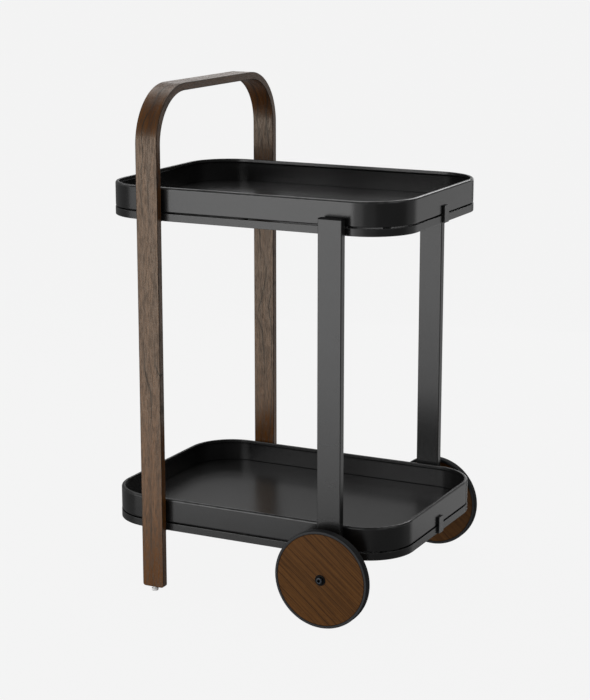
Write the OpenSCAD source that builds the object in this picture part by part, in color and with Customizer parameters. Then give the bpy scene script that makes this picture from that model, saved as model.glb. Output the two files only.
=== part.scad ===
// Two-tier bar cart: a bentwood hoop is the handle and two legs, and two metal legs carry the wheels.
// X runs from the hoop end to the wheel end, Y from right to left, Z up. The origin is on the floor
// under the middle of the trays.

/* [Overall] */
// Height of the top of the hoop above the floor
total_h = 950; // [900:5:1000]
// Distance from the middle of the cart to the middle of each pair of legs, along X
leg_x = 183.2; // [150:0.1:200]
// Gap between the side of a tray and the legs beside it
side_gap = 6; // [4:0.5:10]

/* [Trays] */
// Length of a tray, along X
tray_l = 603; // [560:1:640]
// Width of a tray, along Y
tray_w = 434; // [400:1:460]
// Radius of the outer corners of a tray, in plan
tray_corner_r = 91; // [70:1:110]
// Height of the upper tray's rim above the floor
upper_rim_z = 768; // [740:1:790]
// Height of the lower tray's rim above the floor
lower_rim_z = 179.6; // [170:0.1:220]
// Depth from the rim to the underside of the pan
pan_h = 45.5; // [35:0.5:60]
// Thickness of the pan's sheet metal
sheet_t = 1.5; // [1:0.1:2]
// Width of the rolled rim
rim_w = 7; // [6:0.5:9]
// Depth of the rolled rim from its top to its free edge
rim_h = 6; // [5:0.5:8]
// Outer radius of the bend between the wall and the floor of the pan
pan_bend_r = 1.5; // [1:0.1:3]
// Play between the pan and the ring's outline, all round
pan_play = 0.4; // [0.3:0.1:1]

/* [Support rings] */
// Height of the shadow gap between ring and pan
groove_h = 2; // [1:0.1:4]
// Height of the ring's outer face
ring_h = 14; // [12:0.5:20]
// Thickness of the ring's flange and ledge
ring_t = 3; // [2:0.5:4]
// Width of the ledge that the pan stands on, from the outer face
ledge_w = 22; // [16:1:30]
// Width of a cross rail
rail_w = 40; // [25:1:44]
// Width of an end tab
tab_w = 21; // [14:1:30]
// Thickness of an end tab
tab_t = 4; // [3:0.5:6]
// Height that the tabs and the metal legs reach above the middle of the shadow gap
tab_rise = 16.5; // [8:0.5:25]

/* [Hoop] */
// Width of the wooden strip
hoop_w = 44.5; // [36:0.5:52]
// Thickness of the wooden strip
hoop_t = 14; // [12:0.5:18]
// Outer radius of the hoop's two bends
hoop_bend_r = 107; // [80:1:130]
// Radius of the strip's four long edges
hoop_edge_r = 1.2; // [0.5:0.1:3]
// Radius of the corners at the two lower ends
hoop_foot_r = 5; // [2:0.5:8]
// Height of the glides under the hoop's ends
glide_h = 8.6; // [6:0.1:12]

/* [Metal legs] */
// Width of a metal leg, along X
leg_w = 46; // [38:1:54]
// Thickness of a metal leg, along Y
leg_t = 15; // [12:0.5:18]
// Wall thickness of a metal leg's tube
leg_wall = 2; // [1.5:0.1:2.5]
// Radius of the tube's outer edges
leg_edge_r = 1.5; // [0.8:0.1:3]
// Distance that a metal leg runs on below the axle
leg_below_axle = 31; // [24:1:40]

/* [Wheels] */
// Diameter of a wheel over its tyre
wheel_d = 181.6; // [160:0.1:190]
// Width of a tyre
tyre_w = 15.4; // [14:0.1:20]
// Thickness of the rubber between the disc and the tread
tyre_t = 5; // [3.5:0.5:7]
// Gap between a metal leg and the wheel beside it
wheel_gap = 17.5; // [12:0.5:24]
// Depth of each face of the disc inside the tyre's edge
disc_recess = 0.4; // [0.2:0.1:1]
// Diameter of the axle bolt's shank
axle_d = 8; // [6:1:10]
// Diameter of the axle bolt's head
axle_head_d = 13.6; // [12:0.1:18]
// Height of the axle bolt's head
axle_head_h = 4.8; // [4:0.1:6]
// Diameter of the flange of a wheel bush
bush_flange_d = 20; // [19:0.5:26]

/* [Hidden] */
$fn = 96;

right = -1;          // the side at -Y
left = 1;            // the side at +Y
walnut = [0.36, 0.25, 0.17];
black_metal = [0.12, 0.12, 0.125];
black_plastic = [0.08, 0.08, 0.08];
bare_steel = [0.6, 0.61, 0.62];

eps = 0.01;          // overlap that makes a cut or a join clean
fit_play = 0.05;     // radial play of a running or a threaded fit
rest_play = 0.3;     // play between pieces that move apart

inner_y = tray_w / 2 + side_gap;            // inner faces of all four legs
hoop_y = inner_y + hoop_t;                  // outer faces of the hoop
leg_y = inner_y + leg_t;                    // outer faces of the metal legs
ring_drop = pan_h + groove_h;               // from a rim down to the top of its ring
tier_drop = ring_drop + ring_h;             // from a rim down to the bottom of its ring
tab_top_drop = pan_h + groove_h / 2 - tab_rise;   // from a rim down to the tops of its tabs
leg_top_z = upper_rim_z - tab_top_drop;
axle_z = wheel_d / 2;
leg_bottom_z = axle_z - leg_below_axle;

cap_t = 2;           // visible thickness of a leg cap
cap_plug_h = 10;     // depth of its plug inside the tube

screw_d = 5;
screw_head_d = 9.5;
screw_head_h = 2.7;
screw_socket_af = 3;
screw_pitch_x = 26;  // distance between the two screws at one leg
screw_below_ledge = 5.6;
screw_l = ring_t + side_gap + 7;            // from under the head to the tip
screw_hole_d = 5.5;
insert_d = 8;
insert_l = 10;
nut_af = 8;
nut_h = 5;
spacer_l = 40;
spacer_h = 12;

pad_d = 14;
pad_t = groove_h - rest_play;

stem_d = 5;
stem_l = 18;
glide_d = 13;
glide_foot_h = 5;
glide_neck_d = 8;

wheel_in_y = leg_y + wheel_gap;             // inner faces of the tyres
disc_t = tyre_w - 2 * disc_recess;
disc_r = wheel_d / 2 - tyre_t;
tyre_edge_r = 1.8;
tongue_w = 4;        // rib inside the tyre, in a groove round the disc
tongue_h = 2;
bush_d = 14;
bush_l = 6.5;        // length of a bush inside the disc
bush_flange_t = 1.6;
boss_d = 16;
hex_af = 5;
hex_depth = 3;

// A flat plate with round corners, drawn from its middle
module round_plate(l, w, r) {
    square([l - 2 * r, w], center = true);
    square([l, w - 2 * r], center = true);
    for (x = [-1, 1], y = [-1, 1])
        translate([x * (l / 2 - r), y * (w / 2 - r)]) circle(r);
}

// Runs a profile round a rectangle with round corners. The profile's x is 0 on the outline and
// negative inside it, and its y is height.
module run_round(l, w, r) {
    for (side = [[l, w, 0], [w, l, 90], [l, w, 180], [w, l, 270]])
        rotate([0, 0, side[2]]) {
            translate([side[0] / 2, side[1] / 2 - r, 0])
                rotate([90, 0, 0]) linear_extrude(side[1] - 2 * r) children();
            translate([side[0] / 2 - r, side[1] / 2 - r, 0])
                rotate_extrude(angle = 90) translate([r, 0]) children();
        }
}

// A cylinder along Y from y0 to y1, on either side of the cart
module y_cylinder(side, y0, y1, d) {
    mirror([0, side == right ? 1 : 0, 0])
        translate([0, y0, 0]) rotate([-90, 0, 0]) cylinder(d = d, h = y1 - y0);
}

// Places children at the two screws of every leg of one end, at the given height
module at_screws(x, z) {
    for (dx = [-1, 1] * screw_pitch_x / 2)
        translate([x + dx, 0, z]) children();
}

function screw_z(rim_z) = rim_z - ring_drop - ring_t - screw_below_ledge;

// ---- hoop end ----

module hoop_section() { round_plate(hoop_t, hoop_w, hoop_edge_r); }

module hoop_leg(side) {
    bend_z = total_h - hoop_bend_r;
    translate([-leg_x, side * (hoop_y - hoop_t / 2), glide_h])
        intersection() {
            rotate([0, 0, 90]) linear_extrude(bend_z - glide_h) hoop_section();
            translate([0, hoop_t, 0]) rotate([90, 0, 0]) linear_extrude(2 * hoop_t)
                translate([0, total_h / 2]) round_plate(hoop_w, total_h, hoop_foot_r);
        }
}

module hoop_bend(side) {
    translate([-leg_x, side * (hoop_y - hoop_bend_r), total_h - hoop_bend_r])
        rotate([0, -90, 0]) mirror([0, side == right ? 1 : 0, 0])
            rotate_extrude(angle = 90) translate([hoop_bend_r - hoop_t / 2, 0]) hoop_section();
}

module bentwood_hoop() {
    top_l = 2 * (hoop_y - hoop_bend_r);
    color(walnut) difference() {
        union() {
            for (side = [right, left]) {
                hoop_leg(side);
                hoop_bend(side);
            }
            translate([-leg_x, top_l / 2, total_h - hoop_t / 2])
                rotate([90, 0, 0]) rotate([0, 0, 90]) linear_extrude(top_l) hoop_section();
        }
        for (side = [right, left]) {
            for (rim_z = [upper_rim_z, lower_rim_z])
                at_screws(-leg_x, screw_z(rim_z))
                    y_cylinder(side, inner_y - eps, inner_y + insert_l + 0.5, insert_d);
            translate([-leg_x, side * (hoop_y - hoop_t / 2), glide_h - eps])
                cylinder(d = stem_d, h = stem_l + 1);
        }
    }
}

module glide(side) {
    color("white") translate([-leg_x, side * (hoop_y - hoop_t / 2), 0]) {
        cylinder(d = glide_d - 2, h = 1);
        translate([0, 0, 0.8]) cylinder(d = glide_d, h = glide_foot_h - 0.8);
        cylinder(d = glide_neck_d, h = glide_h);
        cylinder(d = stem_d - 2 * fit_play, h = glide_h + stem_l);
    }
}

module hoop_inserts() {
    color("gold") for (side = [right, left], rim_z = [upper_rim_z, lower_rim_z])
        at_screws(-leg_x, screw_z(rim_z)) difference() {
            y_cylinder(side, inner_y + 0.2, inner_y + insert_l, insert_d - 2 * fit_play);
            y_cylinder(side, inner_y, inner_y + insert_l + eps, screw_d + 2 * fit_play);
        }
}

// ---- metal legs ----

module metal_leg(side) {
    inner_r = max(leg_edge_r - leg_wall, 0.5);
    color(black_metal) difference() {
        translate([leg_x, side * (leg_y - leg_t / 2), leg_bottom_z + cap_t])
            linear_extrude(leg_top_z - leg_bottom_z - 2 * cap_t) difference() {
                round_plate(leg_w, leg_t, leg_edge_r);
                round_plate(leg_w - 2 * leg_wall, leg_t - 2 * leg_wall, inner_r);
            }
        for (rim_z = [upper_rim_z, lower_rim_z])
            at_screws(leg_x, screw_z(rim_z))
                y_cylinder(side, inner_y - eps, inner_y + leg_wall + eps, screw_hole_d);
        translate([leg_x, 0, axle_z])
            y_cylinder(side, leg_y - leg_wall - eps, leg_y + eps, axle_d + 4 * fit_play);
    }
}

// A cap closes one end of the tube. up is 1 for the upper end and -1 for the lower one.
module leg_cap(side, end_z, up) {
    plug_play = 0.1;
    plug_w = leg_w - 2 * (leg_wall + plug_play);
    plug_t = leg_t - 2 * (leg_wall + plug_play);
    color(black_plastic) translate([leg_x, side * (leg_y - leg_t / 2), end_z])
        mirror([0, 0, up > 0 ? 1 : 0]) {
            linear_extrude(cap_t) round_plate(leg_w, leg_t, leg_edge_r);
            linear_extrude(cap_t + cap_plug_h) round_plate(plug_w, plug_t, 1);
        }
}

module leg_nuts() {
    color(bare_steel) for (side = [right, left], rim_z = [upper_rim_z, lower_rim_z])
        at_screws(leg_x, screw_z(rim_z)) difference() {
            mirror([0, side == right ? 1 : 0, 0]) translate([0, inner_y + leg_wall, 0])
                rotate([-90, 0, 0]) cylinder(d = nut_af / cos(30), h = nut_h, $fn = 6);
            y_cylinder(side, inner_y, inner_y + leg_wall + nut_h + eps, screw_d + 2 * fit_play);
        }
}

module axle_boss(side) {
    color(bare_steel) translate([leg_x, 0, axle_z]) difference() {
        y_cylinder(side, inner_y + leg_wall, leg_y - leg_wall, boss_d);
        y_cylinder(side, inner_y, leg_y, axle_d + 2 * fit_play);
    }
}

// ---- tiers ----

module support_ring(rim_z) {
    top_z = rim_z - ring_drop;
    color(black_metal) difference() {
        union() {
            translate([0, 0, top_z - ring_h]) linear_extrude(ring_h) difference() {
                round_plate(tray_l, tray_w, tray_corner_r);
                round_plate(tray_l - 2 * ring_t, tray_w - 2 * ring_t, tray_corner_r - ring_t);
            }
            translate([0, 0, top_z - ring_t]) linear_extrude(ring_t) difference() {
                round_plate(tray_l - ring_t, tray_w - ring_t, tray_corner_r - ring_t / 2);
                round_plate(tray_l - 2 * ledge_w, tray_w - 2 * ledge_w, tray_corner_r - ledge_w);
            }
        }
        for (side = [right, left], x = [-leg_x, leg_x])
            at_screws(x, screw_z(rim_z))
                y_cylinder(side, tray_w / 2 - ring_t - 1, tray_w / 2 + 1, screw_hole_d);
    }
}

module cross_rails(rim_z) {
    rail_l = tray_w - 2 * (ring_t + screw_head_h + 4);
    color(black_metal) for (x = [-leg_x, leg_x])
        translate([x, 0, rim_z - ring_drop - 1.5 * ring_t])
            cube([rail_w, rail_l, ring_t], center = true);
}

// An end tab stands on the outer face of the ring. end is 1 at the wheels and -1 at the hoop.
module end_tab(rim_z, end) {
    tab_h = tier_drop - tab_top_drop;
    corner_r = 1.5;
    color(black_metal)
        translate([end > 0 ? tray_l / 2 : -tray_l / 2 - tab_t, 0, rim_z - tier_drop + tab_h / 2])
            rotate([90, 0, 90]) linear_extrude(tab_t) round_plate(tab_w, tab_h, corner_r);
}

module spacers(rim_z) {
    mid_y = tray_w / 2 + side_gap / 2;
    color(black_metal) for (side = [right, left], x = [-leg_x, leg_x])
        difference() {
            translate([x, side * mid_y, screw_z(rim_z) + 0.2])
                cube([spacer_l, side_gap, spacer_h], center = true);
            at_screws(x, screw_z(rim_z))
                y_cylinder(side, tray_w / 2 - eps, inner_y + eps, screw_hole_d);
        }
}

module ring_screws(rim_z) {
    head_y = tray_w / 2 - ring_t;
    color(bare_steel) for (side = [right, left], x = [-leg_x, leg_x])
        at_screws(x, screw_z(rim_z)) difference() {
            union() {
                y_cylinder(side, head_y - screw_head_h, head_y, screw_head_d);
                y_cylinder(side, head_y - eps, head_y + screw_l, screw_d);
            }
            mirror([0, side == right ? 1 : 0, 0]) translate([0, head_y - screw_head_h - eps, 0])
                rotate([-90, 0, 0]) cylinder(d = screw_socket_af / cos(30), h = 1.6, $fn = 6);
        }
}

// Pads stand on the ledge at the corners and at the middle of the long sides.
module tray_pads(rim_z) {
    r = tray_corner_r - ledge_w / 2;
    top_z = rim_z - ring_drop;
    color(black_plastic) {
        for (x = [-1, 1], y = [-1, 1])
            translate([x * (tray_l / 2 - tray_corner_r + r * cos(45)),
                       y * (tray_w / 2 - tray_corner_r + r * sin(45)), top_z])
                cylinder(d = pad_d, h = pad_t);
        for (y = [-1, 1])
            translate([0, y * (tray_w - ledge_w) / 2, top_z]) cylinder(d = pad_d, h = pad_t);
    }
}

// The pan's wall, from its underside up, with the rim rolled inwards and left open below
module pan_wall_profile() {
    bead_r = rim_w / 2;
    difference() {
        union() {
            translate([-sheet_t, pan_bend_r]) square([sheet_t, pan_h - bead_r - pan_bend_r]);
            translate([-pan_bend_r, 0]) difference() {
                translate([0, pan_bend_r]) circle(pan_bend_r);
                translate([-2 * pan_bend_r, 0]) square([2 * pan_bend_r, 2 * pan_bend_r]);
                translate([-pan_bend_r, pan_bend_r]) square(2 * pan_bend_r);
            }
            translate([-2 * pan_bend_r, 0]) square([pan_bend_r + eps, sheet_t]);
            translate([-bead_r, pan_h - bead_r]) circle(bead_r);
            translate([-rim_w, pan_h - rim_h]) square([sheet_t, rim_h - bead_r]);
        }
        translate([-bead_r, pan_h - bead_r]) circle(bead_r - sheet_t);
        translate([sheet_t - rim_w, pan_h - rim_h - eps])
            square([rim_w - 2 * sheet_t, rim_h - bead_r + eps]);
    }
}

module tray(rim_z) {
    l = tray_l - 2 * pan_play;
    w = tray_w - 2 * pan_play;
    floor_inset = 1.5 * pan_bend_r;
    color(black_metal) translate([0, 0, rim_z - pan_h]) {
        run_round(l, w, tray_corner_r - pan_play) pan_wall_profile();
        linear_extrude(sheet_t) round_plate(l - 2 * floor_inset, w - 2 * floor_inset,
                                            tray_corner_r - pan_play - floor_inset);
    }
}

// ---- wheels ----

// Turns a profile, whose x is radius and y is distance outwards along the axle, round the axle
module turned(side) {
    translate([leg_x, 0, axle_z]) mirror([0, side == right ? 1 : 0, 0])
        rotate([-90, 0, 0]) rotate_extrude() children();
}

module wheel_tyre(side) {
    tyre_in_r = disc_r + fit_play;
    color(black_plastic) turned(side) {
        translate([(tyre_in_r + wheel_d / 2) / 2, wheel_in_y + tyre_w / 2])
            round_plate(wheel_d / 2 - tyre_in_r, tyre_w, tyre_edge_r);
        translate([tyre_in_r - tongue_h, wheel_in_y + (tyre_w - tongue_w) / 2])
            square([tongue_h + 1, tongue_w]);
    }
}

module wheel_disc(side) {
    bore_r = bush_d / 2;
    color(walnut) turned(side) difference() {
        translate([bore_r, wheel_in_y + disc_recess]) square([disc_r - bore_r, disc_t]);
        translate([disc_r - tongue_h - fit_play, wheel_in_y + tyre_w / 2 - tongue_w / 2 - fit_play])
            square([tongue_h + 1, tongue_w + 2 * fit_play]);
    }
}

// Two flanged bushes, one pressed into each face of the disc
module wheel_bushes(side) {
    bore_r = axle_d / 2 + fit_play;
    face_in = wheel_in_y + disc_recess;
    face_out = face_in + disc_t;
    body_r = bush_d / 2 - fit_play;
    color(black_plastic) turned(side) {
        translate([bore_r, face_in - bush_flange_t])
            square([bush_flange_d / 2 - bore_r, bush_flange_t]);
        translate([bore_r, face_in - eps]) square([body_r - bore_r, bush_l]);
        translate([bore_r, face_out]) square([bush_flange_d / 2 - bore_r, bush_flange_t]);
        translate([bore_r, face_out + eps - bush_l]) square([body_r - bore_r, bush_l]);
    }
}

module wheel_spacer(side) {
    bush_face = wheel_in_y + disc_recess - bush_flange_t;
    color(black_metal) turned(side)
        translate([axle_d / 2 + fit_play, leg_y])
            square([(bush_flange_d - axle_d) / 2 - fit_play, bush_face - rest_play - leg_y]);
}

module axle_bolt(side) {
    head_y = wheel_in_y + disc_recess + disc_t + bush_flange_t + rest_play;
    tip_y = inner_y + leg_wall + 1;
    dome_r = 2.4;
    head_r = axle_head_d / 2;
    color(black_metal) difference() {
        turned(side) {
            translate([0, tip_y]) square([axle_d / 2, head_y - tip_y + eps]);
            translate([0, head_y]) square([head_r, axle_head_h - dome_r]);
            translate([0, head_y]) square([head_r - dome_r, axle_head_h]);
            intersection() {
                translate([head_r - dome_r, head_y + axle_head_h - dome_r]) circle(dome_r);
                translate([0, head_y]) square([head_r, axle_head_h]);
            }
        }
        translate([leg_x, 0, axle_z]) mirror([0, side == right ? 1 : 0, 0])
            translate([0, head_y + axle_head_h - hex_depth, 0])
                rotate([-90, 0, 0]) cylinder(d = hex_af / cos(30), h = hex_depth + 1, $fn = 6);
    }
}

bentwood_hoop();
glide(right);  // right_glide
glide(left);  // left_glide
hoop_inserts();
metal_leg(right);  // right_metal_leg
metal_leg(left);  // left_metal_leg
leg_cap(right, leg_top_z, 1);  // right_leg_top_cap
leg_cap(left, leg_top_z, 1);  // left_leg_top_cap
leg_cap(right, leg_bottom_z, -1);  // right_leg_bottom_cap
leg_cap(left, leg_bottom_z, -1);  // left_leg_bottom_cap
leg_nuts();
axle_boss(right);  // right_axle_boss
axle_boss(left);  // left_axle_boss
support_ring(upper_rim_z);  // upper_support_ring
support_ring(lower_rim_z);  // lower_support_ring
cross_rails(upper_rim_z);  // upper_cross_rails
cross_rails(lower_rim_z);  // lower_cross_rails
end_tab(upper_rim_z, 1);  // upper_front_tab
end_tab(upper_rim_z, -1);  // upper_rear_tab
end_tab(lower_rim_z, 1);  // lower_front_tab
end_tab(lower_rim_z, -1);  // lower_rear_tab
spacers(upper_rim_z);  // upper_spacers
spacers(lower_rim_z);  // lower_spacers
ring_screws(upper_rim_z);  // upper_ring_screws
ring_screws(lower_rim_z);  // lower_ring_screws
tray_pads(upper_rim_z);  // upper_tray_pads
tray_pads(lower_rim_z);  // lower_tray_pads
tray(upper_rim_z);  // upper_tray
tray(lower_rim_z);  // lower_tray
wheel_disc(right);  // right_wheel_disc
wheel_disc(left);  // left_wheel_disc
wheel_tyre(right);  // right_wheel_tyre
wheel_tyre(left);  // left_wheel_tyre
wheel_bushes(right);  // right_wheel_bushes
wheel_bushes(left);  // left_wheel_bushes
wheel_spacer(right);  // right_wheel_spacer
wheel_spacer(left);  // left_wheel_spacer
axle_bolt(right);  // right_axle_bolt
axle_bolt(left);  // left_axle_bolt
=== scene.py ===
"""The looks of the two-tier bar cart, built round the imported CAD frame. Everything is in metres."""
import math

import bmesh
import bpy
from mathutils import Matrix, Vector


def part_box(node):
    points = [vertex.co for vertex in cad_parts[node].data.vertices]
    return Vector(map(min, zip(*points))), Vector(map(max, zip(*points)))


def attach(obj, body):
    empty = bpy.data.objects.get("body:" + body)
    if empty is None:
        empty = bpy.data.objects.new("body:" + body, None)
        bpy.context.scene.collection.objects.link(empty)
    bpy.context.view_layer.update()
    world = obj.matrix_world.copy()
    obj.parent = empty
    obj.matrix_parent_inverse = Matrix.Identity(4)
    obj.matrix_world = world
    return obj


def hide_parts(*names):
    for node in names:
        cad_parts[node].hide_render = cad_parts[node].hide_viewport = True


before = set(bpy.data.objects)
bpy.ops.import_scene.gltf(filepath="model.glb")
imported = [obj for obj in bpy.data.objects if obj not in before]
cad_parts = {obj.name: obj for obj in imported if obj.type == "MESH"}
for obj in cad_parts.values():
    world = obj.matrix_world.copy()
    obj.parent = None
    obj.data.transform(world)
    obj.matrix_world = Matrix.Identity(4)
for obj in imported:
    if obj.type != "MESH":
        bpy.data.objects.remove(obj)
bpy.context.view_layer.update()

MM = 0.001

# Details of the real pieces that a node's box doesn't give
TRAY_CORNER_R = 91 * MM
SHEET_T = 1.5 * MM
RIM_W = 7 * MM
RIM_SHOULDER_R = 4 * MM
LIP_H = 6 * MM
LIP_TOP_R = 1 * MM
LIP_EDGE_R = 0.6 * MM
LIP_FILLET_R = 3.4 * MM
PAN_BEND_R = 2.2 * MM
GROOVE_W = 3 * MM
GROOVE_D = 1.1 * MM
GROOVE_EDGE_R = 0.3 * MM
PAN_CAP_INSET = 18 * MM               # where the flat faces that close a pan's skin begin
EDGE_MARK_W = 0.7 * MM                     # how far the edge marks reach in from a rounded edge: wear with a painted highlight on the coat, painted shade on the walnut, darker tyre shoulders
RING_T = 3 * MM
LEDGE_W = 22 * MM
TAB_CORNER_R = 1.5 * MM
BAR_CORNER_R = 1 * MM
HOOP_T = 14 * MM
HOOP_BEND_R = 107 * MM
HOOP_EDGE_R = 1.2 * MM
HOOP_FOOT_R = 5 * MM
FOOT_START = 0.6                      # along the grain from its middle, where painted light makes the hoop's wood warmer and brighter
FOOT_FADE = 0.35
GLIDE_FOOT_H = 5 * MM
GLIDE_NECK_R = 4 * MM
GLIDE_STEM_R = 2.45 * MM
LEG_WALL = 2 * MM
LEG_EDGE_R = 1.5 * MM
LEG_INNER_R = 0.5 * MM
LEG_END_R = 0.2 * MM
LEG_WEAR_AND_HIGHLIGHT = 0.3                        # the edge attribute on the metal legs' arrises: wear with a painted highlight
CAP_T = 2 * MM
CAP_EDGE_R = 0.5 * MM
PLUG_PLAY = 0.1 * MM
TYRE_T = 5 * MM
TYRE_EDGE_R = 1.8 * MM
TYRE_LIP_R = 0.5 * MM
TYRE_RIB_W = 4 * MM
TYRE_RIB_H = 2 * MM
DISC_EDGE_R = 0.7 * MM
FIT_PLAY = 0.05 * MM
AXLE_D = 8 * MM
BOLT_HEAD_H = 4.8 * MM
BOLT_DOME_R = 2.4 * MM
BUSH_D = 14 * MM
BUSH_L = 6.5 * MM
BUSH_EDGE_R = 0.5 * MM
SOCKET_AF = 5 * MM
SOCKET_DEPTH = 3 * MM
SOCKET_CHAMFER = 0.35 * MM
SOCKET_MOUTH = 0.8 * MM               # depth at which painted shade turns the socket dark
PRESSED_EDGE_R = 0.6 * MM
FINE_EDGE_R = 0.4 * MM
SHARP_ANGLE = math.radians(50)
GRAIN_TURN = math.radians(-39.6)      # direction of the wheels' grain, from +X towards +Z
DISC_GRAIN_START = 1.0                # places the discs' wood beyond FOOT_START, apart from each other

SIDES = {"right": -1, "left": 1}


# ---- mesh building -------------------------------------------------------------------------

def arc(centre, radius, start, end, steps, edge=1.0):
    """Points (inset or x, height or y, edge) on an arc, with its angles in degrees."""
    points = []
    for k in range(steps + 1):
        a = math.radians(start + (end - start) * k / steps)
        points.append((centre[0] + radius * math.cos(a), centre[1] + radius * math.sin(a), edge))
    return points


def round_rect(length, width, radius, steps=12):
    """An outline with round corners: (x, y, normal x, normal y) for each point, anticlockwise."""
    outline = []
    for turn, sx, sy in ((0, 1, 1), (90, -1, 1), (180, -1, -1), (270, 1, -1)):
        cx, cy = sx * (length / 2 - radius), sy * (width / 2 - radius)
        for k in range(steps + 1):
            a = math.radians(turn + 90 * k / steps)
            nx, ny = math.cos(a), math.sin(a)
            outline.append((cx + radius * nx, cy + radius * ny, nx, ny))
    return outline


def circle(radius, steps=96):
    """A round outline in the same form."""
    turns = [2 * math.pi * k / steps for k in range(steps)]
    return [(radius * math.cos(a), radius * math.sin(a), math.cos(a), math.sin(a)) for a in turns]


def along_z(x, y, h):
    return Vector((x, y, h))


def along_y(x, y, h):
    return Vector((x, h, -y))


def along_x(x, y, h):
    return Vector((h, x, y))


def ring_of(outline, inset, height, place=along_z, origin=(0, 0, 0)):
    """One ring of points: the outline moved in by inset, at a height along the place's axis."""
    return [place(x - nx * inset, y - ny * inset, height) + Vector(origin) for x, y, nx, ny in outline]


def guarded(profile, closed):
    """Adds points just in from the ends of long straight runs, so that the edge marks (wear, painted
    highlight, painted shade) stay at the edges.
    """
    points = []
    ends = profile[1:] + ([profile[0]] if closed else [])
    for start, end in zip(profile, ends):
        points.append(start)
        length = math.hypot(end[0] - start[0], end[1] - start[1])
        if length > 4 * EDGE_MARK_W:
            for t in (EDGE_MARK_W / length, 1 - EDGE_MARK_W / length):
                points.append((start[0] + (end[0] - start[0]) * t, start[1] + (end[1] - start[1]) * t, 0.0))
    return points if closed else points + [profile[-1]]


def rings_of(outline, profile, place=along_z, origin=(0, 0, 0), closed=False):
    """The rings of a profile of (inset, height, edge) points run round an outline, and their edges."""
    profile = guarded(profile, closed)
    return [ring_of(outline, d, h, place, origin) for d, h, _ in profile], [e for _, _, e in profile]


def skin(rings, closed=False, first=0):
    """Faces over rings of points. closed joins the last ring to the first, else the ends are capped."""
    count = len(rings[0])
    total = len(rings) * count
    faces = []
    for i in range(len(rings) if closed else len(rings) - 1):
        a = first + i * count
        b = first + (i + 1) * count % total
        for k in range(count):
            m = (k + 1) % count
            faces.append((a + k, a + m, b + m, b + k))
    if not closed:
        faces.append(tuple(first + k for k in reversed(range(count))))
        faces.append(tuple(first + total - count + k for k in range(count)))
    return faces


def make_piece(name, shells, material, body, nodes, grain=None):
    """Makes one piece of shells, each (rings, edges, closed), which stands for the named CAD nodes."""
    points, faces, edges = [], [], []
    for rings, ring_edges, closed in shells:
        faces += skin(rings, closed, len(points))
        for ring, edge in zip(rings, ring_edges):
            points += ring
            edges += [edge] * len(ring)
    mesh = bpy.data.meshes.new(name)
    mesh.from_pydata(points, [], faces)
    mesh.validate()
    mesh.attributes.new("edge", "FLOAT", "POINT").data.foreach_set("value", edges)
    if grain:
        flat = [c for p in points for c in grain(p)]
        mesh.attributes.new("grain", "FLOAT_VECTOR", "POINT").data.foreach_set("vector", flat)
    fix_normals(mesh)
    piece = bpy.data.objects.new(name, mesh)
    bpy.context.scene.collection.objects.link(piece)
    mesh.materials.append(material)
    weighted = piece.modifiers.new("weighted_normals", "WEIGHTED_NORMAL")
    weighted.weight = 100
    weighted.keep_sharp = True
    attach(piece, body)
    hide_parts(*nodes)
    return piece


def fix_normals(mesh):
    """Points every face outwards, smooth but for the edges sharper than SHARP_ANGLE."""
    work = bmesh.new()
    work.from_mesh(mesh)
    bmesh.ops.recalc_face_normals(work, faces=work.faces)
    work.to_mesh(mesh)
    work.free()
    mesh.shade_smooth()
    mesh.set_sharp_from_angle(angle=SHARP_ANGLE)


# ---- materials -----------------------------------------------------------------------------

class Material:
    """A material whose nodes are added one call at a time."""

    def __init__(self, name):
        self.material = bpy.data.materials.new(name)
        self.material.use_nodes = True
        self.tree = self.material.node_tree
        self.tree.nodes.clear()

    def add(self, kind, inputs=None, **settings):
        node = self.tree.nodes.new("ShaderNode" + kind)
        for key, value in settings.items():
            setattr(node, key, value)
        for key, value in (inputs or {}).items():
            if isinstance(value, bpy.types.NodeSocket):
                self.tree.links.new(value, node.inputs[key])
            else:
                node.inputs[key].default_value = value
        return node

    def attribute(self, name):
        return self.add("Attribute", attribute_name=name)

    def object_coords(self):
        return self.add("TexCoord").outputs["Object"]

    def noise(self, vector, scale, detail=2.0, roughness=0.5):
        return self.add("TexNoise", {"Vector": vector, "Scale": scale, "Detail": detail,
                                     "Roughness": roughness}).outputs["Fac"]

    def math(self, operation, a, b=0.0, c=0.0, clamp=False):
        return self.add("Math", {0: a, 1: b, 2: c}, operation=operation, use_clamp=clamp).outputs[0]

    def stretch(self, vector, scale, offset=(0, 0, 0)):
        return self.add("Mapping", {"Vector": vector, "Scale": scale, "Location": offset}).outputs[0]

    def span(self, value, low, high, to_low, to_high):
        """Maps a value from one range to another, with smooth ends."""
        return self.add("MapRange", {"Value": value, "From Min": low, "From Max": high,
                                     "To Min": to_low, "To Max": to_high},
                        interpolation_type="SMOOTHSTEP").outputs["Result"]

    def mix(self, factor, a, b):
        node = self.add("Mix", data_type="RGBA")
        for key, value in ((0, factor), (6, a), (7, b)):
            if isinstance(value, bpy.types.NodeSocket):
                self.tree.links.new(value, node.inputs[key])
            else:
                node.inputs[key].default_value = value
        return node.outputs[2]

    def bump(self, height, strength, distance):
        return self.add("Bump", {"Height": height, "Strength": strength,
                                 "Distance": distance}).outputs["Normal"]

    def finish(self, **sockets):
        """Adds the Principled shader. An underscore in a name stands for a space."""
        shader = self.add("BsdfPrincipled", {k.replace("_", " "): v for k, v in sockets.items()})
        out = self.add("OutputMaterial")
        self.tree.links.new(shader.outputs["BSDF"], out.inputs["Surface"])
        return self.material


def grey(value, warmth=0.0):
    return (value * (1 + warmth), value, value * (1 - warmth), 1)


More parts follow.
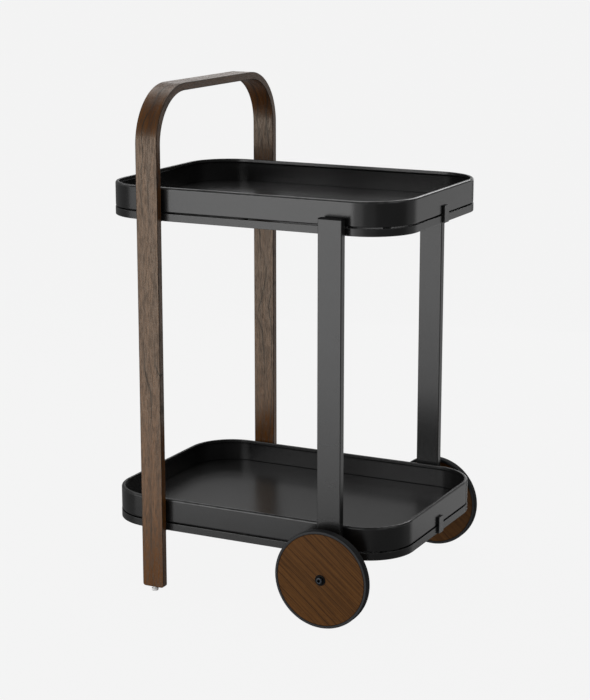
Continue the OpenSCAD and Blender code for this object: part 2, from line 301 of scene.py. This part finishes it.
def powder_coat(name, dark, light, gloss=0.27):
    """Satin black powder coat: fine orange peel, faint cloudiness, and rubbed edges painted lighter, edge
    wear with a painted highlight.
    """
    m = Material(name)
    place = m.object_coords()
    peel = m.noise(place, 900, 1.5, 0.5)
    specks = m.noise(place, 2600, 1.0)
    clouds = m.noise(place, 22, 4.0, 0.6)
    handling = m.noise(m.stretch(place, (14, 14, 50)), 1.0, 4.0, 0.6)
    edge = m.attribute("edge").outputs["Fac"]
    rubbed_and_highlight = m.math("MULTIPLY", edge, m.span(m.noise(place, 60, 3.0), 0.36, 0.62, 0.35, 1.0))
    colour = m.mix(m.span(clouds, 0.3, 0.7, 0.0, 1.0), grey(dark, 0.01), grey(light, -0.02))
    colour = m.mix(m.span(specks, 0.62, 0.8, 0.0, 0.4), colour, grey(light * 1.6))
    # Lighter where rubbed: edge wear, and a painted highlight along the rims' shoulders, the legs' arrises
    # and other rounded edges.
    colour = m.mix(m.math("MULTIPLY", rubbed_and_highlight, 0.6), colour, grey(light * 4.5))
    rough = m.span(handling, 0.3, 0.7, gloss - 0.004, gloss + 0.004)
    rough = m.math("MULTIPLY_ADD", rubbed_and_highlight, -0.04, rough)
    return m.finish(Base_Color=colour, Roughness=rough, Normal=m.bump(peel, 0.02, 0.1 * MM),
                    Specular_IOR_Level=0.5)


def walnut(name, pale, brown, vein, foot, spacing, wander, reach, faintest, streak, contrast, cloud, gloss,
           shine):
    """Oiled walnut. The grain attribute holds metres along, across and through the wood.

    Growth lines lie a spacing apart, wander by so many spacings within each reach of length, and
    fade to faintest, a share of their full strength. Cloud is how much darker the wood grows
    towards each line. Streak is the usual length of the dark flecks between the lines, and contrast
    their strength. Foot is the colour mixed in beyond FOOT_START: painted light on the hoop, warmer
    and brighter low on its legs, and a plain tone on the discs. Gloss is the roughness, and
    shine the specular level."""
    m = Material(name)
    grain = m.attribute("grain").outputs["Vector"]
    edge = m.attribute("edge").outputs["Fac"]
    sway = m.noise(m.stretch(grain, (1 / reach, 12, 12), (3.1, 0.7, 0.2)), 1.0, 1.5, 0.4)
    parts = m.add("SeparateXYZ", {"Vector": grain}).outputs
    across = parts["Y"]
    foot_light_and_tone = m.span(m.math("ABSOLUTE", parts["X"]), FOOT_START, FOOT_START + FOOT_FADE, 0.0, 1.0)
    field = m.math("MULTIPLY_ADD", sway, wander, m.math("DIVIDE", across, spacing))
    wave = m.math("SINE", m.math("MULTIPLY", field, 2 * math.pi))
    fading = m.noise(m.stretch(grain, (4, 30, 30), (1.2, 5.1, 0.4)), 1.0, 1.0)
    strength = m.span(fading, 0.42, 0.62, faintest, 1.0)
    lines = m.math("MULTIPLY", m.span(wave, 0.90, 0.99, 0.0, 1.0), strength)
    bands = m.noise(m.stretch(grain, (2.2, 150, 60), (4.4, 2.5, 3.3)), 1.0, 2.0, 0.5)
    fibre = m.noise(m.stretch(grain, (1 / streak, 480, 480)), 1.0, 4.0, 0.7)
    flecks = m.span(fibre, 0.40, 0.57, contrast, 0.0)
    pores = m.span(m.noise(m.stretch(grain, (55, 1500, 1500)), 1.0, 1.0, 0.4), 0.58, 0.72, 0.0, 1.0)
    patches = m.noise(m.stretch(grain, (0.3 / streak, 45, 45), (7.7, 1.3, 2.1)), 1.0, 3.0, 0.6)
    deep = (*(0.5 * c for c in vein[:3]), 1)
    colour = m.mix(m.span(bands, 0.3, 0.7, 0.0, 1.0), brown, pale)
    # Painted light: beyond FOOT_START, low on the hoop's legs, the wood is painted a warmer, brighter
    # brown; on the discs this mix is a plain tone.
    colour = m.mix(m.math("MULTIPLY", foot_light_and_tone, 0.6), colour, foot)
    colour = m.mix(m.span(patches, 0.35, 0.7, 0.0, 0.35), colour, pale)
    colour = m.mix(m.span(wave, -1.0, 0.9, 0.0, cloud), colour, vein)
    colour = m.mix(m.math("MULTIPLY", lines, 0.9), colour, deep)
    colour = m.mix(flecks, colour, vein)
    colour = m.mix(m.math("MULTIPLY", pores, 0.45), colour, deep)
    # Painted shade: a dark line where edge is 1, along the hoop's arrises and the discs' rounded edges.
    colour = m.mix(m.math("MULTIPLY", edge, 0.9), colour, deep)
    rough = m.math("MULTIPLY_ADD", flecks, 0.32, gloss - 0.07)
    rough = m.math("MULTIPLY_ADD", foot_light_and_tone, -0.06, rough)
    rough = m.math("MULTIPLY_ADD", lines, 0.16, rough)
    rough = m.math("MULTIPLY_ADD", pores, 0.12, rough)
    rough = m.math("MULTIPLY_ADD", edge, 0.35, rough, clamp=True)
    relief = m.math("MULTIPLY_ADD", pores, -1.0, m.math("MULTIPLY", flecks, -0.5))
    return m.finish(Base_Color=colour, Roughness=rough, Normal=m.bump(relief, 0.2, 0.08 * MM),
                    Specular_IOR_Level=shine, Specular_Tint=(1.0, 0.93, 0.80, 1))


def rubber(name, dark, light, gloss=0.5, shine=0.5):
    """Moulded rubber or matte plastic with a fine grain and a little bloom, darker and rougher where edge
    is 1.
    """
    m = Material(name)
    place = m.object_coords()
    grain = m.noise(place, 1600, 3.0, 0.6)
    bloom = m.noise(place, 35, 4.0, 0.6)
    colour = m.mix(m.span(bloom, 0.3, 0.7, 0.0, 1.0), dark, light)
    darker_edge = m.attribute("edge").outputs["Fac"]
    # Darker and rougher where edge is 1, on the tyre's shoulders.
    colour = m.mix(m.math("MULTIPLY", darker_edge, 0.5), colour, (0, 0, 0, 1))
    rough = m.math("MULTIPLY_ADD", bloom, 0.12, gloss - 0.06)
    rough = m.math("MULTIPLY_ADD", darker_edge, 0.35, rough)
    return m.finish(Base_Color=colour, Roughness=m.math("MULTIPLY_ADD", grain, 0.05, rough),
                    Normal=m.bump(grain, 0.2, 0.06 * MM), Specular_IOR_Level=shine)


def metal(name, dark, light, gloss, brushed=(300, 300, 60)):
    """Bare or plated metal, with fine scratches along Z, painted black where edge is below 0: painted shade
    deep in the bolt's socket.
    """
    m = Material(name)
    place = m.object_coords()
    scratches = m.noise(m.stretch(place, brushed), 6.0, 4.0, 0.6)
    stain = m.noise(place, 70, 3.0)
    colour = m.mix(m.span(stain, 0.3, 0.7, 0.0, 1.0), dark, light)
    # Painted shade: near black deep in the bolt's socket, where edge is below 0.
    socket_shade = m.span(m.attribute("edge").outputs["Fac"], -1.0, 0.0, 1.0, 0.0)
    colour = m.mix(socket_shade, colour, (0.004, 0.004, 0.004, 1))
    rough = m.math("MULTIPLY_ADD", scratches, 0.14, gloss - 0.07)
    return m.finish(Base_Color=colour, Metallic=1.0, Roughness=rough,
                    Normal=m.bump(scratches, 0.15, 0.03 * MM))


def nylon(name):
    """Pale natural nylon, milky and a little translucent."""
    m = Material(name)
    place = m.object_coords()
    haze = m.noise(place, 120, 3.0)
    colour = m.mix(haze, (0.93, 0.93, 0.92, 1), (0.97, 0.97, 0.96, 1))
    return m.finish(Base_Color=colour, Roughness=m.math("MULTIPLY_ADD", haze, 0.1, 0.5),
                    Normal=m.bump(m.noise(place, 900), 0.05, 0.05 * MM), Transmission_Weight=0.15,
                    Specular_IOR_Level=0.3)


FRAME_COAT = powder_coat("frame_powder_coat", 0.011, 0.014)
TRAY_COAT = powder_coat("tray_powder_coat", 0.009, 0.012, 0.24)
HOOP_WALNUT = walnut("hoop_walnut", pale=(0.142, 0.057, 0.015, 1), brown=(0.088, 0.031, 0.007, 1),
                     vein=(0.028, 0.010, 0.003, 1), foot=(0.176, 0.060, 0.006, 1),
                     spacing=20 * MM, wander=3.0, reach=0.13, faintest=0.0, streak=20 * MM,
                     contrast=0.62, cloud=0.2, gloss=0.31, shine=0.57)
WHEEL_WALNUT = walnut("disc_walnut", pale=(0.150, 0.063, 0.016, 1), brown=(0.114, 0.044, 0.010, 1),
                      vein=(0.034, 0.012, 0.003, 1), foot=(0.132, 0.053, 0.013, 1),
                      spacing=12 * MM, wander=7.0, reach=2.4, faintest=0.4, streak=150 * MM,
                      contrast=0.5, cloud=0.06, gloss=0.42, shine=0.12)
TYRE_RUBBER = rubber("tyre_rubber", (0.010, 0.011, 0.013, 1), (0.016, 0.0175, 0.020, 1), 0.5, 0.42)
BLACK_PLASTIC = rubber("black_plastic", (0.006, 0.006, 0.0065, 1), (0.010, 0.010, 0.0105, 1), 0.5, 0.07)
PAD_RUBBER = rubber("pad_rubber", (0.015, 0.015, 0.015, 1), (0.03, 0.03, 0.03, 1), 0.75)
BLACK_OXIDE = metal("black_oxide", (0.032, 0.036, 0.042, 1), (0.050, 0.056, 0.064, 1), 0.38)
ZINC = metal("zinc_plate", (0.45, 0.46, 0.47, 1), (0.62, 0.62, 0.60, 1), 0.35)
BRASS = metal("turned_brass", (0.62, 0.42, 0.16, 1), (0.78, 0.56, 0.25, 1), 0.28)
NYLON = nylon("pale_nylon")


# ---- trays and rings -----------------------------------------------------------------------

def tray_profile(under, rim):
    """The pan's skin as (inset, height, edge): underside, wall, rim with an inward lip, grooved floor."""
    floor = under + SHEET_T
    outside = [(PAN_CAP_INSET, under, 0.0), (PAN_BEND_R + 1 * MM, under, 0.0)]
    outside += arc((PAN_BEND_R, under + PAN_BEND_R), PAN_BEND_R, 270, 180, 6, 0.0)
    shoulder = arc((RIM_SHOULDER_R, rim - RIM_SHOULDER_R), RIM_SHOULDER_R, 180, 90, 14)
    lip = arc((RIM_W - 1.4 * MM, rim - LIP_TOP_R), LIP_TOP_R, 90, 5, 5)
    lip += arc((RIM_W - LIP_EDGE_R, rim - LIP_H + LIP_EDGE_R), LIP_EDGE_R, 5, -85, 5, 0.0)
    fillet_z = rim - LIP_H - LIP_FILLET_R
    fillet = arc((SHEET_T + LIP_FILLET_R, fillet_z), LIP_FILLET_R, 90, 180, 8, 0.0)
    groove_end = SHEET_T + GROOVE_W
    groove = [(SHEET_T, floor - GROOVE_D, 0.0), (groove_end, floor - GROOVE_D, 0.0)]
    r = GROOVE_EDGE_R
    groove += arc((groove_end + r, floor - r), r, 180, 90, 3, 0.0)
    return outside + shoulder + lip + fillet + groove + [(PAN_CAP_INSET, floor, 0.0)]


def make_tray(tier):
    low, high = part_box(tier + "_tray")
    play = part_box(tier + "_support_ring")[1].x - high.x
    outline = round_rect(2 * high.x, 2 * high.y, TRAY_CORNER_R - play, 24)
    rings, edges = rings_of(outline, tray_profile(low.z, high.z))
    make_piece(tier + "_tray_pan", [(rings, edges, False)], TRAY_COAT, tier + "_tray",
               [tier + "_tray"])


def ring_profile(low, high):
    """The support ring's section: an upright flange with a ledge inwards at its top."""
    r = PRESSED_EDGE_R
    ledge = high - RING_T
    return (arc((r, high - r), r, 180, 90, 4) + arc((LEDGE_W - r, high - r), r, 90, 0, 4)
            + arc((LEDGE_W - r, ledge + r), r, 0, -90, 4) + [(RING_T, ledge, 0.0)]
            + arc((RING_T - r, low + r), r, 0, -90, 4) + arc((r, low + r), r, 270, 180, 4))


def make_ring(tier):
    node = tier + "_support_ring"
    low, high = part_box(node)
    outline = round_rect(2 * high.x, 2 * high.y, TRAY_CORNER_R, 24)
    rings, edges = rings_of(outline, ring_profile(low.z, high.z), closed=True)
    make_piece(node + "_band", [(rings, edges, True)], FRAME_COAT, "frame", [node])


def plate_rings(outline, bottom, top, radius, place=along_z, origin=(0, 0, 0)):
    """A flat plate with rounded edges, from bottom to top along the place's axis."""
    profile = (arc((radius, bottom + radius), radius, 270, 180, 4)
               + arc((radius, top - radius), radius, 180, 90, 4))
    rings, edges = rings_of(outline, profile, place, origin)
    return rings, edges, False


def make_tabs(tier):
    for end in ("front", "rear"):
        node = f"{tier}_{end}_tab"
        low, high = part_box(node)
        outline = round_rect(high.y - low.y, high.z - low.z, TAB_CORNER_R, 6)
        shell = plate_rings(outline, low.x, high.x, PRESSED_EDGE_R, along_x,
                            (0, 0, (low.z + high.z) / 2))
        make_piece(node + "_plate", [shell], FRAME_COAT, "frame", [node])


def make_rails_and_spacers(tier):
    rails, spacers = f"{tier}_cross_rails", f"{tier}_spacers"
    low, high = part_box(rails)
    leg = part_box("right_metal_leg")
    leg_x = (leg[0].x + leg[1].x) / 2
    outline = round_rect(2 * (high.x - leg_x), high.y - low.y, BAR_CORNER_R, 4)
    shells = [plate_rings(outline, low.z, high.z, FINE_EDGE_R, origin=(x, 0, 0))
              for x in (-leg_x, leg_x)]
    make_piece(rails + "_bars", shells, FRAME_COAT, "frame", [rails])
    low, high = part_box(spacers)
    ring_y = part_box(tier + "_support_ring")[1].y
    outline = round_rect(2 * (high.x - leg_x), high.z - low.z, BAR_CORNER_R, 4)
    shells = []
    for x in (-leg_x, leg_x):
        for near, far in ((ring_y, high.y), (-high.y, -ring_y)):
            shells.append(plate_rings(outline, near, far, FINE_EDGE_R, along_y,
                                      (x, 0, (low.z + high.z) / 2)))
    make_piece(spacers + "_blocks", shells, FRAME_COAT, "frame", [spacers])


# ---- legs ----------------------------------------------------------------------------------

def make_metal_leg(side):
    node = side + "_metal_leg"
    low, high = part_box(node)
    middle = ((low.x + high.x) / 2, (low.y + high.y) / 2, 0)
    width, depth = high.x - low.x, high.y - low.y
    outer = round_rect(width, depth, LEG_EDGE_R, 6)
    inner = round_rect(width - 2 * LEG_WALL, depth - 2 * LEG_WALL, LEG_INNER_R, 6)
    r = LEG_END_R
    rings = [ring_of(outer, r, low.z, origin=middle), ring_of(outer, 0, low.z + r, origin=middle),
             ring_of(outer, 0, high.z - r, origin=middle), ring_of(outer, r, high.z, origin=middle),
             ring_of(inner, 0, high.z, origin=middle), ring_of(inner, 0, low.z, origin=middle)]
    edges = [LEG_WEAR_AND_HIGHLIGHT, 0, 0, LEG_WEAR_AND_HIGHLIGHT, 0, 0]
    piece = make_piece(node + "_tube", [(rings, edges, True)], FRAME_COAT, "frame", [node])
    mark_arrises(piece, Vector(middle), width / 2, depth / 2)
    for end in ("top", "bottom"):
        make_leg_cap(side, end, middle, outer)


def mark_arrises(piece, middle, half_w, half_d):
    """Sets the edge attribute on a leg's long rounded edges, for wear with a painted highlight."""
    values = piece.data.attributes["edge"].data
    for vertex in piece.data.vertices:
        offset = vertex.co - middle
        near_x = half_w - abs(offset.x) < LEG_EDGE_R * 0.99
        near_y = half_d - abs(offset.y) < LEG_EDGE_R * 0.99
        if near_x and near_y:
            values[vertex.index].value = LEG_WEAR_AND_HIGHLIGHT


def make_leg_cap(side, end, middle, outer):
    node = f"{side}_leg_{end}_cap"
    low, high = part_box(node)
    slim = 2 * (LEG_WALL + PLUG_PLAY)
    inner = round_rect(2 * outer[0][0] - slim, high.y - low.y - slim, 1 * MM, 6)
    sign = 1 if end == "top" else -1
    face, seat, tip = (high.z, high.z - CAP_T, low.z) if end == "top" else (low.z, low.z + CAP_T, high.z)
    r = CAP_EDGE_R
    profile = [(0.15 * MM, seat, 0.0), (0.0, seat + sign * 0.15 * MM, 0.0)]
    profile += [(r - r * math.cos(a), face - sign * (r - r * math.sin(a)), 0.0)
                for a in (math.radians(18 * k) for k in range(6))]
    rings, edges = rings_of(outer, profile, origin=middle)
    plug = [ring_of(inner, 0.3 * MM, tip, origin=middle),
            ring_of(inner, 0, tip + sign * 0.5 * MM, origin=middle),
            ring_of(inner, 0, seat, origin=middle)]
    make_piece(node + "_cover", [(plug + rings, [0, 0, 0] + edges, False)], BLACK_PLASTIC, "frame",
               [node])


def hoop_sections(low, high):
    """Stations along the strip's middle line: (place, outward direction, distance from one end)."""
    mid_y = high.y - HOOP_T / 2
    turn_y, turn_z = high.y - HOOP_BEND_R, high.z - HOOP_BEND_R
    mid_r = HOOP_BEND_R - HOOP_T / 2
    leg_l = turn_z - low.z
    stations = []
    foot = [HOOP_FOOT_R * (1 - math.cos(math.radians(a))) for a in range(0, 91, 10)]
    shafts = [leg_l * k / 24 for k in range(1, 25)]
    for s in foot + shafts:
        stations.append((Vector((0, -mid_y, low.z + s)), Vector((0, -1, 0)), s))
    steps = 36
    for k in range(1, steps + 1):
        a = math.pi - math.pi / 2 * k / steps
        out = Vector((0, math.cos(a), math.sin(a)))
        place = Vector((0, -turn_y, turn_z)) + out * mid_r
        stations.append((place, out, leg_l + mid_r * math.pi / 2 * k / steps))
    half = stations[-1][2] + turn_y
    mirrored = [(Vector((0, -place.y, place.z)), Vector((0, -out.y, out.z)), 2 * half - s)
                for place, out, s in reversed(stations)]
    return stations + mirrored


def make_hoop():
    low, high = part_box("bentwood_hoop")
    middle_x = (low.x + high.x) / 2
    width = high.x - low.x
    stations = hoop_sections(low, high)
    total = stations[-1][2]
    rings, edges, grain = [], [], {}
    for place, out, s in stations:
        from_end = min(s, total - s)
        fall = HOOP_FOOT_R - from_end
        inset = HOOP_FOOT_R - math.sqrt(HOOP_FOOT_R ** 2 - fall ** 2) if fall > 0 else 0.0
        thin = 0.5 * max(0.0, 1 * MM - from_end)
        section = round_rect(width - 2 * inset, HOOP_T - 2 * thin, HOOP_EDGE_R, 5)
        ring = []
        for x, v, _, _ in section:
            point = place + out * v + Vector((middle_x + x, 0, 0))
            grain[tuple(round(c, 7) for c in point)] = (s - total / 2, x, v)
            ring.append(point)
        rings.append(ring)
        edges.append(0.0)
    piece = make_piece("bentwood_hoop_strip", [(rings, edges, False)], HOOP_WALNUT, "frame",
                       ["bentwood_hoop"],
                       grain=lambda p: grain[tuple(round(c, 7) for c in p)])
    # Edge 1 on the arrises darkens the walnut there: a painted shade line.
    values = piece.data.attributes["edge"].data
    for vertex in piece.data.vertices:
        _, x, v = grain[tuple(round(c, 7) for c in vertex.co)]
        if width / 2 - abs(x) < HOOP_EDGE_R * 0.99 and HOOP_T / 2 - abs(v) < HOOP_EDGE_R * 0.99:
            values[vertex.index].value = 1.0


def make_glide(side):
    node = side + "_glide"
    low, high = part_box(node)
    middle = ((low.x + high.x) / 2, (low.y + high.y) / 2, 0)
    radius = (high.x - low.x) / 2
    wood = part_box("bentwood_hoop")[0].z
    neck, stem = radius - GLIDE_NECK_R, radius - GLIDE_STEM_R
    profile = [(1 * MM, 0, 0.0)] + arc((1 * MM, 1 * MM), 1 * MM, 260, 180, 5)
    profile += arc((0.8 * MM, GLIDE_FOOT_H - 0.8 * MM), 0.8 * MM, 180, 95, 5)
    profile += [(neck, GLIDE_FOOT_H + 0.2 * MM, 0.0), (neck, wood, 0.0), (stem, wood, 0.0),
                (stem, high.z - 0.5 * MM, 0.0), (stem + 0.5 * MM, high.z, 0.0)]
    rings, edges = rings_of(circle(radius, 40), profile, origin=middle)
    make_piece(node + "_foot", [(rings, edges, False)], NYLON, "frame", [node])


# ---- wheels --------------------------------------------------------------------------------

def axle_place(sign):
    """Places a turned profile on the axle: its height runs outwards from the middle of the cart."""
    return lambda x, y, h: Vector((x, sign * h, y))


def outward_span(node, sign):
    """The nearest and farthest distances of a node from the cart's middle plane."""
    low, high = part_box(node)
    return (low.y, high.y) if sign > 0 else (-high.y, -low.y)


def box_profile(radius, inner_r, near, far, edge_r):
    """The closed section of a turned ring from inner_r to radius, with rounded outer edges."""
    depth = radius - inner_r
    return ([(depth, near, 0.0)] + arc((edge_r, near + edge_r), edge_r, 270, 180, 4)
            + arc((edge_r, far - edge_r), edge_r, 180, 90, 4) + [(depth, far, 0.0)])


def make_wheel(side):
    sign = SIDES[side]
    body = side + "_wheel"
    place = axle_place(sign)
    low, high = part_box(side + "_wheel_tyre")
    centre = Vector(((low.x + high.x) / 2, 0, (low.z + high.z) / 2))
    radius = (high.z - low.z) / 2
    make_disc(side, sign, body, place, centre, radius - TYRE_T)
    make_tyre(side, sign, body, place, centre, radius)
    make_bushes(side, sign, body, place, centre)
    make_bolt(side, sign, place, centre)


def make_disc(side, sign, body, place, centre, disc_r):
    node = side + "_wheel_disc"
    near, far = outward_span(node, sign)
    profile = box_profile(disc_r, BUSH_D / 2, near, far, DISC_EDGE_R)
    rings, edges = rings_of(circle(disc_r), profile, place, centre, closed=True)
    along = Vector((math.cos(GRAIN_TURN), 0, math.sin(GRAIN_TURN)))
    across = Vector((-along.z, 0, along.x))

    def grain(point):
        offset = point - centre
        return offset.dot(along) + sign * DISC_GRAIN_START, offset.dot(across), offset.y

    make_piece(node + "_face", [(rings, edges, True)], WHEEL_WALNUT, body, [node], grain)


def make_tyre(side, sign, body, place, centre, radius):
    """A flat tyre with darker, rougher shoulders, and a rib inside that keys into the disc."""
    node = side + "_wheel_tyre"
    near, far = outward_span(node, sign)
    seat = TYRE_T - FIT_PLAY
    r, lip = TYRE_EDGE_R, TYRE_LIP_R
    rib_near, rib_far = (near + far - TYRE_RIB_W) / 2, (near + far + TYRE_RIB_W) / 2
    profile = arc((seat - lip, near + lip), lip, 360, 270, 4, 0.0) + arc((r, near + r), r, 270, 225, 4, 0.0)
    profile += arc((r, near + r), r, 215, 180, 4) + arc((r, far - r), r, 180, 145, 4)
    profile += arc((r, far - r), r, 135, 90, 4, 0.0) + arc((seat - lip, far - lip), lip, 90, 0, 4, 0.0)
    profile += [(seat, rib_far, 0.0), (seat + TYRE_RIB_H, rib_far, 0.0),
                (seat + TYRE_RIB_H, rib_near, 0.0), (seat, rib_near, 0.0)]
    outline = circle(radius, 128)
    rings = [ring_of(outline, d, h, place, centre) for d, h, _ in profile]
    edges = [e for _, _, e in profile]
    make_piece(node + "_band", [(rings, edges, True)], TYRE_RUBBER, body, [node])


def make_bushes(side, sign, body, place, centre):
    node = side + "_wheel_bushes"
    near, far = outward_span(node, sign)
    disc_near, disc_far = outward_span(side + "_wheel_disc", sign)
    low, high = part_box(node)
    flange_r = (high.z - low.z) / 2
    bore = flange_r - AXLE_D / 2 - FIT_PLAY
    neck = flange_r - BUSH_D / 2 + FIT_PLAY
    r = BUSH_EDGE_R
    shells = []
    for face, root, tip in ((far, disc_far, disc_far - BUSH_L), (near, disc_near, disc_near + BUSH_L)):
        way = 1 if face > root else -1
        rim = [(r - r * math.cos(a), face - way * (r - r * math.sin(a)), 0.0)
               for a in (math.radians(22.5 * k) for k in range(5))]
        profile = [(bore, tip, 0.0), (neck, tip, 0.0), (neck, root, 0.0), (0.0, root, 0.0)] + rim
        profile += [(bore - 0.3 * MM, face, 0.0), (bore, face - way * 0.3 * MM, 0.0)]
        rings, edges = rings_of(circle(flange_r, 64), profile, place, centre, closed=True)
        shells.append((rings, edges, True))
    make_piece(node + "_pair", shells, BLACK_PLASTIC, body, [node])


def make_bolt(side, sign, place, centre):
    node = side + "_axle_bolt"
    tip, face = outward_span(node, sign)
    low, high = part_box(node)
    head_r = (high.z - low.z) / 2
    outline = circle(head_r, 72)
    under = face - BOLT_HEAD_H
    shank = head_r - AXLE_D / 2
    profile = [(shank + 1 * MM, tip, 0.0), (shank, tip + 1 * MM, 0.0), (shank, under, 0.0),
               (0.3 * MM, under, 0.0), (0.0, under + 0.3 * MM, 0.0)]
    profile += arc((BOLT_DOME_R, face - BOLT_DOME_R), BOLT_DOME_R, 180, 90, 10)
    rings, edges = rings_of(outline, profile, place, centre)
    # Edge -1 paints the socket near black from SOCKET_MOUTH down: painted shade.
    socket = ((SOCKET_CHAMFER, 0.0, 1.0), (0.0, SOCKET_CHAMFER, 1.0), (0.0, SOCKET_MOUTH, -1.0),
              (0.0, SOCKET_DEPTH, -1.0), (-1.5 * MM, SOCKET_DEPTH, -1.0))
    for grow, depth, edge in socket:
        flat = hexagon(len(outline), SOCKET_AF / 2 + grow)
        rings.append([place(x, y, face - depth) + centre for x, y in flat])
        edges.append(edge)
    make_piece(node + "_head", [(rings, edges, False)], BLACK_OXIDE, "frame", [node])


def hexagon(count, flat_r):
    """A hexagon as count points at even angles."""
    points = []
    for k in range(count):
        a = 2 * math.pi * k / count
        r = flat_r / math.cos((a + math.pi / 6) % (math.pi / 3) - math.pi / 6)
        points.append((r * math.cos(a), r * math.sin(a)))
    return points


# ---- build ---------------------------------------------------------------------------------

for tier in ("upper", "lower"):
    make_tray(tier)
    make_ring(tier)
    make_tabs(tier)
    make_rails_and_spacers(tier)
for side in SIDES:
    make_metal_leg(side)
    make_glide(side)
    make_wheel(side)
make_hoop()

# CAD nodes whose shapes stay, with their materials
KEPT = {
    "hoop_inserts": BRASS, "leg_nuts": ZINC, "right_axle_boss": ZINC, "left_axle_boss": ZINC,
    "upper_ring_screws": BLACK_OXIDE, "lower_ring_screws": BLACK_OXIDE,
    "upper_tray_pads": PAD_RUBBER, "lower_tray_pads": PAD_RUBBER,
    "right_wheel_spacer": FRAME_COAT, "left_wheel_spacer": FRAME_COAT,
}
for name, material in KEPT.items():
    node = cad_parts[name]
    for slot in node.material_slots:
        slot.material = material


# ---- stage ---------------------------------------------------------------------------------

AIM = Vector((0.0355, -0.074, 0.4571))    # the point in the middle of the picture
VIEW = (26.38, 12.95)                 # azimuth and elevation of the camera, in degrees
VIEW_DISTANCE = 3.55
LENS = 97.84

SOFTBOXES = [        # name, (azimuth, elevation), distance, (width, height), radiance
    ("key_top", (-24, 14), 2.4, (1.1, 0.42), 4.1),
    ("key", (-24, 2), 2.4, (1.1, 0.5), 3.2),
    ("key_low", (-24, -10), 2.4, (1.1, 0.5), 2.8),
    ("key_foot", (-24, -20), 2.4, (1.1, 0.36), 1.7),
    ("left", (-49, -5), 2.4, (1.0, 1.4), 1.2),
    ("right", (-1, -5), 2.4, (1.0, 1.4), 0.9),
    ("right_far", (24, -5), 2.4, (1.2, 1.4), 0.2),
    ("front_low", (5, -42), 2.4, (2.4, 0.8), 0.4),
    ("overhead", (-110, 78), 2.4, (1.5, 0.9), 2.2),
    ("right_high", (90, 42), 2.4, (1.2, 0.8), 1.5),
    ("left_high", (-95, 42), 2.4, (1.2, 0.8), 0.8),
    ("back_right", (150, -9.5), 2.4, (1.1, 1.4), 0.53),
    ("right_back", (122, -10), 2.4, (1.1, 1.0), 0.22),
    ("back_left_low", (-154, 14), 2.4, (1.2, 0.5), 0.16),
    ("back_left_hoop", (-147.5, 22), 2.78, (0.4, 0.5), 1.1),
    ("back_left", (-154, 34), 2.4, (1.2, 0.7), 0.6),
    ("back_left_top", (-135, 54), 2.4, (1.7, 0.6), 2.0),
    ("back", (178, 9), 2.4, (1.1, 0.6), 0.8),
    ("back_high", (178, 36), 2.4, (1.1, 0.9), 3.0),
    ("back_low", (196, -12), 2.4, (1.2, 1.1), 0.9),
]
WORLD = 0.17                          # grey level of the light from all round


def make_floor():
    """A plain pale studio: a floor that turns up into a round wall and ceiling, seen from any side."""
    turn, middle_r = 15.0, 0.1
    profile = [(2 * turn - middle_r, 0.0, 0.0)] + arc((turn, turn), turn, 270, 180, 12)
    profile += arc((turn, turn), turn, 180, 90, 12) + [(2 * turn - middle_r, 2 * turn, 0.0)]
    rings = [ring_of(circle(2 * turn, 64), d, h) for d, h, _ in profile]
    mesh = bpy.data.meshes.new("floor")
    mesh.from_pydata([p for ring in rings for p in ring], [], skin(rings))
    mesh.shade_smooth()
    floor = bpy.data.objects.new("floor", mesh)
    bpy.context.scene.collection.objects.link(floor)
    m = Material("floor_paper")
    fibre = m.noise(m.object_coords(), 400, 3.0)
    tint = m.mix(fibre, (0.012, 0.012, 0.012, 1), (0.018, 0.018, 0.018, 1))
    paper = m.finish(Base_Color=tint, Roughness=0.9, Emission_Color=(0.9, 0.9, 0.9, 1),
                     Emission_Strength=0.995, Specular_IOR_Level=0.0)
    paper.cycles.emission_sampling = "NONE"
    mesh.materials.append(paper)
    floor.visible_diffuse = False
    floor.visible_glossy = False
    floor.visible_shadow = False


def stand_back(item, direction, distance):
    """Puts a camera or a light at a distance from AIM, facing it, and adds it to the scene.

    direction is the item's (azimuth, elevation) in degrees, as for a view: 0, 0 looks along +Y."""
    azimuth, elevation = (math.radians(a) for a in direction)
    back = Vector((math.sin(azimuth) * math.cos(elevation), -math.cos(azimuth) * math.cos(elevation),
                   math.sin(elevation)))
    bpy.context.scene.collection.objects.link(item)
    item.location = AIM + back * distance
    item.rotation_mode = "QUATERNION"
    item.rotation_quaternion = back.to_track_quat("Z", "Y")


def softbox(name, direction, distance, size, radiance):
    """A rectangular panel light that faces the cart."""
    lamp = bpy.data.lights.new(name, "AREA")
    lamp.shape = "RECTANGLE"
    lamp.size, lamp.size_y = size
    lamp.energy = radiance * math.pi * size[0] * size[1]
    light = bpy.data.objects.new(name, lamp)
    stand_back(light, direction, distance)
    light.visible_camera = False


def make_camera():
    camera = bpy.data.objects.new("camera", bpy.data.cameras.new("camera"))
    camera.data.lens = LENS
    stand_back(camera, VIEW, VIEW_DISTANCE)
    bpy.context.scene.camera = camera


def make_world():
    world = bpy.data.worlds.new("studio")
    bpy.context.scene.world = world
    world.use_nodes = True
    world.node_tree.nodes["Background"].inputs["Color"].default_value = (WORLD, WORLD, WORLD, 1)


make_camera()
make_floor()
make_world()
for box in SOFTBOXES:
    softbox(*box)
bpy.context.scene.view_settings.view_transform = "Standard"
